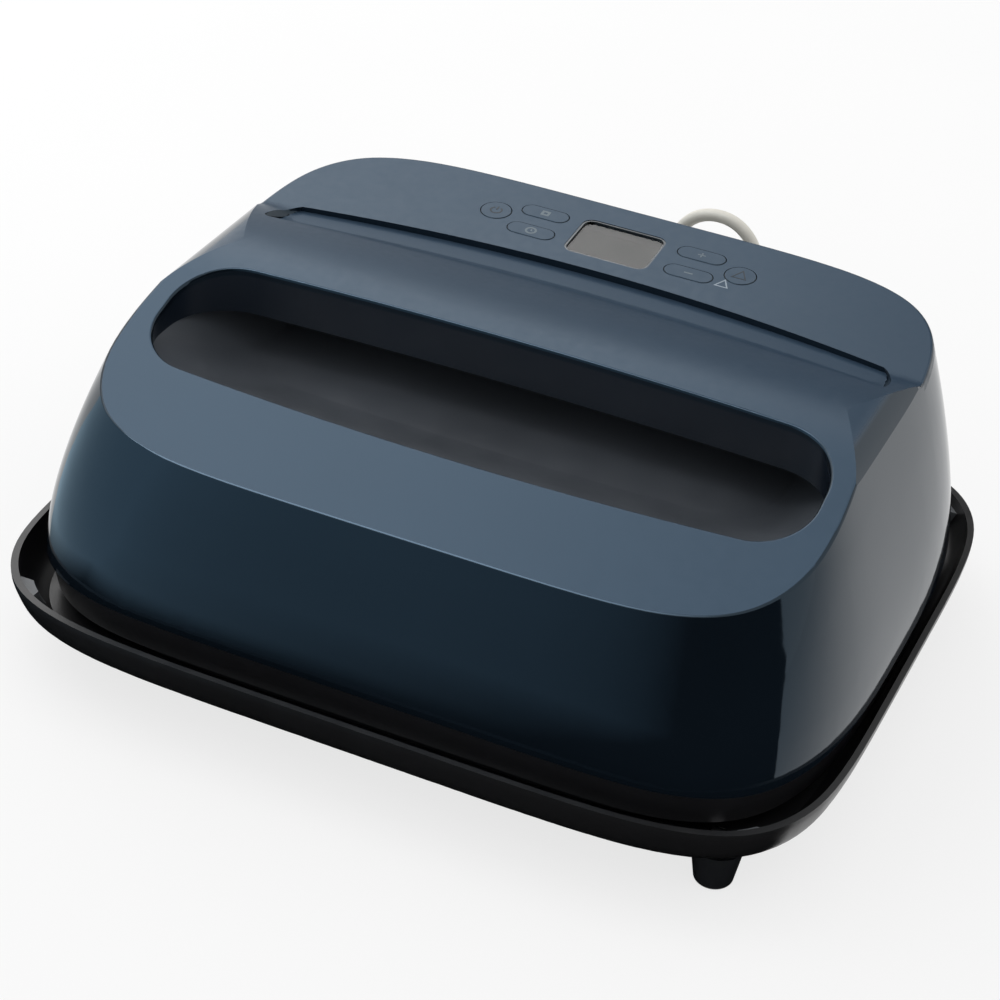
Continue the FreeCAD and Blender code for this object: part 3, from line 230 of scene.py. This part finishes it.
def woven(name, colour):
    """Woven tape: crossing threads, darker between them as painted shade and lighter on their
    tops.
    """
    g = Graph(name)
    warp = g.waves(THREADS, 1.0, "X")
    weft = g.waves(THREADS, 1.0, "Z")
    cloth = g.maths("MULTIPLY", warp, weft)
    # Colour follows the thread height, so the low gaps between threads carry painted shade.
    base = g.mix(g.spread(cloth, 0, 1, 0.1, 0.8), shade(colour, 0.6), shade(colour, 1.3))
    return g.put(colour=base, rough=0.9, specular=0.2, sheen=0.3, normal=g.bump(cloth, 0.15 * MM))


# ------------------------------------------------------------------ materials
NAVY = (0.0040, 0.0068, 0.0105)
# Blue-grey painted on faces that look up: a painted sheen of the overhead light on the same navy
# plastic.
PAINTED_DECK_SHEEN = (0.031, 0.054, 0.086)
COAT_TINT = (0.55, 0.78, 1.0)


def shell_with_painted_sheen():
    """Gloss navy walls; the faces that look up are satin, and painted a lighter blue-grey as a
    painted sheen of the overhead light.
    """
    g = Graph("shell_navy")
    facing = g.axis(g.normal(), "Z")
    deck = g.spread(facing, 0, 1, 0.86, 0.93, smooth=True)
    cloud = g.mottle(9, 3)
    wall = g.mix(cloud, shade(NAVY, 0.85), shade(NAVY, 1.15))
    # Faces that look up take the painted sheen colour instead of navy; only their higher roughness
    # is a real satin.
    top = g.mix(cloud, shade(PAINTED_DECK_SHEEN, 0.95), shade(PAINTED_DECK_SHEEN, 1.05))
    rough_wall = g.mottle(80, 3, 0.05, 0.09)
    rough_top = g.mottle(260, 3, 0.30, 0.38)
    rougher = g.maths("MULTIPLY", deck, g.maths("SUBTRACT", rough_top, rough_wall))
    rough = g.maths("ADD", rougher, rough_wall)
    peel = g.bump(g.noise(420, 2), 0.004 * MM)
    return g.put(colour=g.mix(deck, wall, top), rough=rough, specular=0.5, tint=COAT_TINT,
                 normal=peel)


def satin_with_painted_sheen(name, tone):
    """Satin deck and keys; their faces that look up are painted a lighter blue-grey as a painted
    sheen of the overhead light, and steep faces stay navy.
    """
    g = Graph(name)
    facing = g.axis(g.normal(), "Z")
    deck = g.spread(facing, 0, 1, 0.80, 0.9, smooth=True)
    cloud = g.mottle(9, 3)
    # Painted sheen: the lighter blue-grey on faces that look up stands for the overhead light.
    top = g.mix(cloud, shade(PAINTED_DECK_SHEEN, 0.95 * tone), shade(PAINTED_DECK_SHEEN, 1.05 * tone))
    rough = g.mottle(260, 3, 0.30, 0.38)
    return g.put(colour=g.mix(deck, shade(NAVY, 1.4), top), rough=rough, specular=0.5,
                 tint=COAT_TINT, normal=g.bump(g.noise(900, 2), 0.006 * MM))


def lens_finish():
    """Clear smoked plastic, unevenly wiped."""
    g = Graph("lens_smoke")
    smear = g.mottle(50, 3, 0.03, 0.10)
    return g.put(colour=(0.32, 0.31, 0.30), rough=smear, transmission=1.0, ior=1.45)


def display_finish():
    """Unlit liquid-crystal panel: warm grey with a faint pixel raster."""
    g = Graph("display_dark")
    raster = g.maths("MULTIPLY", g.waves(1500, 0, "X"), g.waves(1500, 0, "Y"))
    tone = g.mix(g.spread(raster, 0, 1), (0.030, 0.028, 0.026), (0.038, 0.036, 0.032))
    return g.put(colour=tone, rough=0.5, specular=0.0)


def blanket_finish():
    """Loose ceramic fibre, off-white."""
    g = Graph("blanket_fibre")
    fibres = g.noise(700, 6, g.stretched((1, 4, 2)), 0.8)
    tuft = g.spread(fibres, 0, 1, NOISE_LOW, NOISE_HIGH)
    base = g.mix(tuft, (0.62, 0.58, 0.48), (0.86, 0.83, 0.75))
    return g.put(colour=base, rough=0.95, sheen=0.4, normal=g.bump(fibres, 0.5 * MM))


def plate_finish():
    """Speckled non-stick coating on the heated plate."""
    g = Graph("plate_coated")
    speckle = g.spread(g.cells(1400), 0, 1, 0.1, 0.5)
    base = g.mix(speckle, (0.16, 0.16, 0.165), (0.085, 0.085, 0.09))
    return g.put(colour=base, metal=0.3, rough=g.mottle(300, 3, 0.32, 0.45),
                 normal=g.bump(g.noise(1600, 2), 0.01 * MM))


def board_finish():
    """Circuit board with faint raised tracks."""
    g = Graph("board_green")
    tracks = g.spread(g.waves(160, 6.0, "DIAGONAL"), 0, 1, 0.45, 0.55)
    base = g.mix(tracks, (0.012, 0.10, 0.045), (0.02, 0.16, 0.07))
    return g.put(colour=base, rough=0.3, normal=g.bump(tracks, 0.03 * MM))


finishes = {
    "tray_black": moulded("tray_black", (0.010, 0.010, 0.011), 0.33, 1500, 0.03, 0.55),
    "leg_black": moulded("leg_black", (0.012, 0.013, 0.015), 0.34, 1500, 0.02, 0.45),
    "pad_rubber": rubbery("pad_rubber", (0.02, 0.02, 0.021), 0.8),
    "liner_silicone": rubbery("liner_silicone", (0.014, 0.014, 0.016), 0.6),
    "screw_steel": metal("screw_steel", (0.55, 0.55, 0.56), 0.3),
    "guide_grey": moulded("guide_grey", (0.13, 0.14, 0.15), 0.4, 1600),
    "shell_navy": shell_with_painted_sheen(),
    "deck_satin": satin_with_painted_sheen("deck_satin", 1.0),
    "pocket_charcoal": moulded("pocket_charcoal", (0.060, 0.068, 0.080), 0.42, 1400, 0.03),
    "grip_navy": moulded("grip_navy", (0.006, 0.010, 0.017), 0.2, 900, 0.008),
    "key_satin": satin_with_painted_sheen("key_satin", 0.97),
    "bezel_silver": metal("bezel_silver", (0.16, 0.17, 0.18), 0.3, (400, 400, 400)),
    "lens_smoke": lens_finish(),
    "display_dark": display_finish(),
    "board_green": board_finish(),
    "switch_black": moulded("switch_black", (0.02, 0.02, 0.022), 0.4),
    "skirt_black": moulded("skirt_black", (0.014, 0.014, 0.016), 0.34, 1500, 0.02),
    "plate_coated": plate_finish(),
    "element_steel": metal("element_steel", (0.38, 0.35, 0.33), 0.4, tint=(0.25, 0.18, 0.14)),
    "sheet_steel": metal("sheet_steel", (0.52, 0.52, 0.52), 0.35),
    "blanket_fibre": blanket_finish(),
    "standoff_ceramic": moulded("standoff_ceramic", (0.78, 0.74, 0.66), 0.25, 700),
    "fuse_white": moulded("fuse_white", (0.8, 0.8, 0.76), 0.4),
    "sensor_brass": metal("sensor_brass", (0.66, 0.49, 0.2), 0.3),
    "transformer_yellow": moulded("transformer_yellow", (0.6, 0.43, 0.06), 0.35),
    "terminal_grey": moulded("terminal_grey", (0.35, 0.37, 0.38), 0.4),
    "clamp_nylon": moulded("clamp_nylon", (0.6, 0.6, 0.55), 0.45),
    "gland_grey": rubbery("gland_grey", (0.60, 0.58, 0.52), 0.5),
    "cord_grey": rubbery("cord_grey", (0.76, 0.74, 0.67), 0.5),
    "strap_black": woven("strap_black", (0.025, 0.025, 0.028)),
    "plug_grey": rubbery("plug_grey", (0.60, 0.58, 0.52), 0.45),
    "blade_brass": metal("blade_brass", (0.72, 0.68, 0.56), 0.25),
}

for part in frame["record"]["subparts"]:
    mesh = nodes[part["node"]].data
    mesh.materials.clear()
    mesh.materials.append(finishes[part["material_slot"]])


# ----------------------------------------------------------------------- cord
CORD_DIAMETER = 6 * MM
COIL_CENTRE = (10.0, 210.0)
COIL_RADIUS = 36.0
COIL_TOP_TURN = 44.7
COIL_LOW_TURN = 4.2
COIL_TURNS = 6.75
POINTS_PER_TURN = 16
STEPS_BEFORE_COIL = 1.25
STEPS_AFTER_COIL = 0.6
EXIT_HEIGHT = 70

exit_point = (0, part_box("cord_gland")[1].y / MM, EXIT_HEIGHT)
lead_points = [exit_point, (0, 176.6, EXIT_HEIGHT), (-2.2, 188.6, 82.4), (-2.8, 189, 99.7),
               (9.2, 188.5, 111.7), (26.1, 188.5, 111.7), (38.3, 187.8, 99.6), (41.2, 185.2, 79.5),
               (43.8, 183.2, 60.4), (45.8, 195.1, 47.3), (46, 212.6, 44.7)]
tail_points = [(11.5, 174, 4.2), (25.5, 173.6, 3.6), (40.5, 174, 5.2), (54, 174.2, 9.6),
               (65.5, 174.4, 11.5)]


def coil_points():
    """Turns wound downward, each as deep as the cord is thick.

    The spline cuts its corners, so they stand a little outside the coil's radius.
    """
    step = 2 * math.pi / POINTS_PER_TURN
    reach = COIL_RADIUS / (0.75 + 0.25 * math.cos(step))
    start = STEPS_BEFORE_COIL * step
    end = COIL_TURNS * 2 * math.pi - STEPS_AFTER_COIL * step
    count = round((end - start) / step)
    made = []
    for i in range(count + 1):
        angle = start + (end - start) * i / count
        drop = (COIL_TOP_TURN - COIL_LOW_TURN) * i / count
        made.append((COIL_CENTRE[0] + reach * math.cos(angle),
                     COIL_CENTRE[1] + reach * math.sin(angle), COIL_TOP_TURN - drop))
    return made


def add_cord():
    """Mains cord as one smooth tube: loop, stored coil and tail."""
    route = lead_points + coil_points() + tail_points
    data = bpy.data.curves.new("mains_cord", "CURVE")
    data.dimensions = "3D"
    data.bevel_depth = CORD_DIAMETER / 2
    data.bevel_resolution = 6
    data.resolution_u = 8
    data.use_fill_caps = True
    spline = data.splines.new("NURBS")
    spline.points.add(len(route) - 1)
    for point, (x, y, z) in zip(spline.points, route):
        point.co = (x * MM, y * MM, z * MM, 1)
    spline.order_u = 3
    spline.use_endpoint_u = True
    cord = bpy.data.objects.new("mains_cord", data)
    bpy.context.scene.collection.objects.link(cord)
    data.materials.append(finishes["cord_grey"])
    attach(cord, "press")
    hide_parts("cord", "cord_coil", "cord_tail")


add_cord()


# ----------------------------------------------------------------- key legends
DECK_HEIGHT = 133.4
KEY_ROW_Y = 99.1
DECK_TILT = math.atan(0.08)
KEY_UPPER_Y = 106.6
KEY_LOWER_Y = 90.6
KEY_INNER_X = 37.1
KEY_OUTER_X = 57.8
READY_X = 53.2
READY_Y = 89.6
KEY_PROUD = 0.2
PRINT_SUNK = 0.05
PRINT_PROUD = 0.05
TURN_STEP = math.radians(10)
SHARPEST = 0.3


def arc(radius, start, end):
    count = max(2, round(abs(end - start) / TURN_STEP))
    turns = [start + (end - start) * i / count for i in range(count + 1)]
    return [(radius * math.cos(t), radius * math.sin(t)) for t in turns]


def stroke(line, width, closed=False):
    """Corners to the left and right of a line, one pair for each of its points.

    Where the line turns, the pair stands on the bisector; SHARPEST limits its reach.
    """
    points = [Vector(p) for p in line]
    count = len(points)
    pairs = []
    for i, here in enumerate(points):
        back = points[i - 1] if i or closed else None
        ahead = points[(i + 1) % count] if i + 1 < count or closed else None
        arrive = (here - back).normalized() if back is not None else None
        leave = (ahead - here).normalized() if ahead is not None else arrive
        arrive = leave if arrive is None else arrive
        along = (arrive + leave).normalized()
        side = Vector((-along.y, along.x)) * width / 2 / max(SHARPEST, along.dot(leave))
        pairs.append((here + side, here - side))
    return pairs


def add_legend(name, body, x, y, strokes, material, proud):
    """Thin raised print on the sloping deck, centred at x and y."""
    verts, faces = [], []
    for line, width, closed in strokes:
        pairs = stroke(line, width, closed)
        first = len(verts)
        for left, right in pairs:
            for corner in (left, right):
                verts.append((corner.x, corner.y, -PRINT_SUNK))
                verts.append((corner.x, corner.y, PRINT_PROUD))
        count = len(pairs)
        for i in range(count if closed else count - 1):
            a, b = first + 4 * i, first + 4 * ((i + 1) % count)
            faces += [(a + 1, a + 3, b + 3, b + 1), (a, b, b + 2, a + 2),
                      (a, a + 1, b + 1, b), (a + 2, b + 2, b + 3, a + 3)]
        if not closed:
            last = first + 4 * (count - 1)
            faces += [(first, first + 2, first + 3, first + 1),
                      (last, last + 1, last + 3, last + 2)]
    mesh = bpy.data.meshes.new(name)
    mesh.from_pydata([tuple(c * MM for c in v) for v in verts], [], faces)
    mesh.materials.append(material)
    print_ = bpy.data.objects.new(name, mesh)
    bpy.context.scene.collection.objects.link(print_)
    level = DECK_HEIGHT + math.tan(DECK_TILT) * (y - KEY_ROW_Y)
    up = Vector((0, -math.sin(DECK_TILT), math.cos(DECK_TILT)))
    print_.rotation_euler = (DECK_TILT, 0, 0)
    print_.location = (Vector((x, y, level)) + up * proud) * MM
    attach(print_, body)


def ring(radius, width):
    return (arc(radius, 0, 2 * math.pi)[:-1], width, True)


def triangle(size, width):
    top, foot, half = size * 0.62, -size * 0.38, size * 0.5
    return ([(0, top), (-half, foot), (half, foot)], width, True)


def rectangle(across, along, width):
    corners = [(-across, -along), (across, -along), (across, along), (-across, along)]
    return (corners, width, True)


def dash(half, width):
    return ([(-half, 0), (half, 0)], width, False)


print_pale = moulded("print_pale", (0.13, 0.17, 0.20), 0.5, 1500, 0.005)
print_dark = moulded("print_dark", (0.016, 0.026, 0.036), 0.5, 1500, 0.005)
print_white = moulded("print_white", (0.29, 0.35, 0.41), 0.45, 1500, 0.005)

open_ring = (arc(2.5, math.radians(125), math.radians(415)), 0.75, False)
power_bar = ([(0, 0.4), (0, 3.1)], 0.75, False)
clock_hands = ([(0, 1.2), (0, 0), (0.9, -0.4)], 0.6, False)
upright_dash = ([(0, -1.8), (0, 1.8)], 0.7, False)

add_legend("print_power", "button_power", -KEY_OUTER_X, KEY_ROW_Y,
           [open_ring, power_bar], print_dark, KEY_PROUD)
add_legend("print_temperature", "button_temperature", -KEY_INNER_X, KEY_UPPER_Y,
           [rectangle(1.4, 1.3, 1.2)], print_pale, KEY_PROUD)
add_legend("print_timer", "button_timer", -KEY_INNER_X, KEY_LOWER_Y,
           [ring(2.2, 1.0), clock_hands], print_pale, KEY_PROUD)
add_legend("print_plus", "button_plus", KEY_INNER_X, KEY_UPPER_Y,
           [dash(1.8, 0.7), upright_dash], print_pale, KEY_PROUD)
add_legend("print_minus", "button_minus", KEY_INNER_X, KEY_LOWER_Y,
           [dash(2.0, 0.9)], print_pale, KEY_PROUD)
add_legend("print_go", "button_go", KEY_OUTER_X, KEY_ROW_Y,
           [triangle(6.2, 0.55)], print_dark, KEY_PROUD)
add_legend("print_ready", "press", READY_X, READY_Y, [triangle(5.6, 0.6)], print_white, 0)


# ---------------------------------------------------------------- stage, light
FLOOR_SPAN = 12.0
FLOOR_GLOW = 0.75
SKY_FILL = 0.75
CARD_HEIGHT = 0.0015
CARD_FRONT = -1.5
CARD_BACK = -0.10
CARD_LEFT = -1.6
CARD_RIGHT = 3.0
CARD_TOP = 2.2
CARD_RIGHT_TOP = 3.0
CARD_LEFT_BACK = 0.22
CARD_BLUE = (0.72, 1.0, 1.2)
DARK_AHEAD = 0.15
DARK_BESIDE = 0.18
REAR_CARD_LEFT = -1.5
REAR_CARD_RIGHT = 0.7
REAR_CARD_Y = 2.2
REAR_CARD_LOW = 0.2
REAR_CARD_HIGH = 1.7
STRIP_LEFT = -1.8
STRIP_RIGHT = 0.6
STRIP_FRONT = -1.15
STRIP_BACK = -0.30
STRIP_HEIGHT = 2.2
LAMP_X = -1.25
LAMP_Y = 0.8
LAMP_HEIGHT = 1.35


def seen_directly(tree):
    """1 for rays that come from the camera, a mirror or glass, and 0 for the rest."""
    rays = tree.nodes.new("ShaderNodeLightPath")
    total = rays.outputs["Is Camera Ray"]
    for name in ("Is Glossy Ray", "Is Transmission Ray"):
        larger = tree.nodes.new("ShaderNodeMath")
        larger.operation = "MAXIMUM"
        tree.links.new(total, larger.inputs[0])
        tree.links.new(rays.outputs[name], larger.inputs[1])
        total = larger.outputs[0]
    return total


def add_sheets(name, outlines, material):
    """Flat sheets in one staged object, each an outline of (x, y, z) corners."""
    verts = [corner for outline in outlines for corner in outline]
    faces, first = [], 0
    for outline in outlines:
        faces.append(tuple(range(first, first + len(outline))))
        first += len(outline)
    mesh = bpy.data.meshes.new(name)
    mesh.from_pydata(verts, [], faces)
    mesh.materials.append(material)
    made = bpy.data.objects.new(name, mesh)
    bpy.context.scene.collection.objects.link(made)
    return made


def seen_in_gloss_only(card):
    """Keep a card in mirror reflections and out of everything else."""
    card.visible_camera = False
    card.visible_diffuse = False
    card.visible_transmission = False
    card.visible_shadow = False


def add_floor():
    """Matt floor that keeps its shadow and still looks nearly white."""
    g = Graph("floor_pale")
    cloud = g.spread(g.noise(3, 3), 0, 1, 0.35, 0.65)
    g.put(colour=g.mix(cloud, (0.87, 0.87, 0.87), (0.9, 0.9, 0.9)), rough=0.8, specular=0.1)
    glow = g.node("ShaderNodeEmission")
    blend = g.node("ShaderNodeMixShader")
    g.link(g.spread(seen_directly(g.tree), 0, FLOOR_GLOW), blend.inputs[0])
    g.link(g.shader.outputs[0], blend.inputs[1])
    g.link(glow.outputs[0], blend.inputs[2])
    g.link(blend.outputs[0], g.tree.nodes["Material Output"].inputs["Surface"])
    half = FLOOR_SPAN / 2
    add_sheets("floor", [[(-half, -half, 0), (half, -half, 0), (half, half, 0), (-half, half, 0)]],
               g.material)


def glowing(g, colour):
    """Make the graph's material give off this colour and nothing more."""
    glow = g.node("ShaderNodeEmission")
    g.link(colour, glow.inputs["Color"])
    g.link(glow.outputs[0], g.tree.nodes["Material Output"].inputs["Surface"])
    return g.material


def add_front_card():
    """Dark studio flags on the floor and round the press, bluish toward the left.

    Close to the base they stay black. Further out the share of blue falls from left to
    right across a band whose middle and width grow with the distance ahead.
    """
    g = Graph("card_front")
    out = g.axis(g.place, "X")
    ahead = g.maths("MAXIMUM", g.maths("MULTIPLY", g.axis(g.place, "Y"), -1.0), -CARD_BACK)
    clear = g.maths("MAXIMUM", g.maths("SUBTRACT", ahead, DARK_AHEAD),
                    g.maths("SUBTRACT", g.maths("MULTIPLY", out, -1.0), DARK_BESIDE))
    middle = g.maths("ADD", g.maths("MULTIPLY", ahead, -0.27), -0.044)
    reach = g.maths("ADD", g.maths("MULTIPLY", ahead, 0.5625), 0.02)
    across = g.maths("DIVIDE", g.maths("SUBTRACT", out, middle), reach)
    share = g.maths("MULTIPLY", g.spread(across, 1, 0, -1, 1),
                    g.spread(clear, 0, 1, 0.02, 0.13, smooth=True))
    colour = g.mix(share, (0.0, 0.0, 0.0), CARD_BLUE)
    z = CARD_HEIGHT
    floor = [(0.175, -0.105, z), (CARD_RIGHT, CARD_BACK, z), (CARD_RIGHT, CARD_FRONT, z),
             (CARD_LEFT, CARD_FRONT, z), (CARD_LEFT, CARD_LEFT_BACK, z), (-0.60, 0.06, z),
             (-0.35, 0.0, z), (-0.26, -0.06, z), (-0.175, -0.11, z)]
    front = [(CARD_LEFT, CARD_FRONT, z), (CARD_RIGHT, CARD_FRONT, z),
             (CARD_RIGHT, CARD_FRONT, CARD_TOP), (CARD_LEFT, CARD_FRONT, CARD_TOP)]
    right = [(CARD_RIGHT, CARD_FRONT, z), (CARD_RIGHT, CARD_BACK, z),
             (CARD_RIGHT, CARD_BACK, 0.25), (CARD_RIGHT, -0.30, 0.5), (CARD_RIGHT, -0.55, 1.0),
             (CARD_RIGHT, -0.9, CARD_RIGHT_TOP), (CARD_RIGHT, CARD_FRONT, CARD_RIGHT_TOP)]
    left = [(CARD_LEFT, CARD_FRONT, z), (CARD_LEFT, CARD_LEFT_BACK, z),
            (CARD_LEFT, CARD_LEFT_BACK, 0.3), (CARD_LEFT, -0.3, 0.9),
            (CARD_LEFT, -0.6, CARD_TOP), (CARD_LEFT, CARD_FRONT, CARD_TOP)]
    seen_in_gloss_only(add_sheets("card_front", [floor, front, right, left],
                                  glowing(g, colour)))


def add_rear_card():
    """Grey flag behind the press, darker toward the right, mirrored in the grip's top."""
    g = Graph("card_rear")
    share = g.spread(g.axis(g.place, "X"), 0, 1, -1.4, -0.3)
    colour = g.mix(share, (0.42, 0.42, 0.42), (0.0, 0.0, 0.0))
    y, low, high = REAR_CARD_Y, REAR_CARD_LOW, REAR_CARD_HIGH
    sheet = [(REAR_CARD_LEFT, y, low), (REAR_CARD_RIGHT, y, low),
             (REAR_CARD_RIGHT, y, high), (REAR_CARD_LEFT, y, high)]
    seen_in_gloss_only(add_sheets("card_rear", [sheet], glowing(g, colour)))


def add_strip():
    """Long panel high before the press; it draws the thin light line on rounded edges."""
    g = Graph("strip_light")
    share = g.spread(g.axis(g.place, "X"), 1, 0, -0.9, 0.5, smooth=True)
    colour = g.mix(share, (1.0, 1.0, 1.0), (7.0, 7.3, 7.8))
    strip = [(STRIP_LEFT, STRIP_FRONT, STRIP_HEIGHT), (STRIP_RIGHT, STRIP_FRONT, STRIP_HEIGHT),
             (STRIP_RIGHT, STRIP_BACK, STRIP_HEIGHT), (STRIP_LEFT, STRIP_BACK, STRIP_HEIGHT)]
    seen_in_gloss_only(add_sheets("strip_light", [strip], glowing(g, colour)))


def add_lamp(name, place, aim, width, depth, power):
    """Rectangular area lamp at a place, turned toward its aim."""
    data = bpy.data.lights.new(name, "AREA")
    data.shape = "RECTANGLE"
    data.size = width
    data.size_y = depth
    data.energy = power
    lamp = bpy.data.objects.new(name, data)
    lamp.location = place
    lamp.rotation_euler = (Vector(aim) - Vector(place)).to_track_quat("-Z", "Y").to_euler()
    bpy.context.scene.collection.objects.link(lamp)


def add_world():
    """White surroundings, a little weaker as a light than they look."""
    world = bpy.data.worlds.new("studio")
    world.use_nodes = True
    bpy.context.scene.world = world
    tree = world.node_tree
    level = tree.nodes.new("ShaderNodeMapRange")
    tree.links.new(seen_directly(tree), level.inputs["Value"])
    level.inputs["To Min"].default_value = SKY_FILL
    level.inputs["To Max"].default_value = 1.0
    back = tree.nodes["Background"]
    back.inputs["Color"].default_value = (1, 1, 1, 1)
    tree.links.new(level.outputs["Result"], back.inputs["Strength"])


add_floor()
add_front_card()
add_rear_card()
add_strip()
add_world()
add_lamp("top_box", (LAMP_X, LAMP_Y, LAMP_HEIGHT), (LAMP_X, LAMP_Y, 0), 1.8, 2.2, 17)

scene = bpy.context.scene
scene.view_settings.view_transform = "Standard"
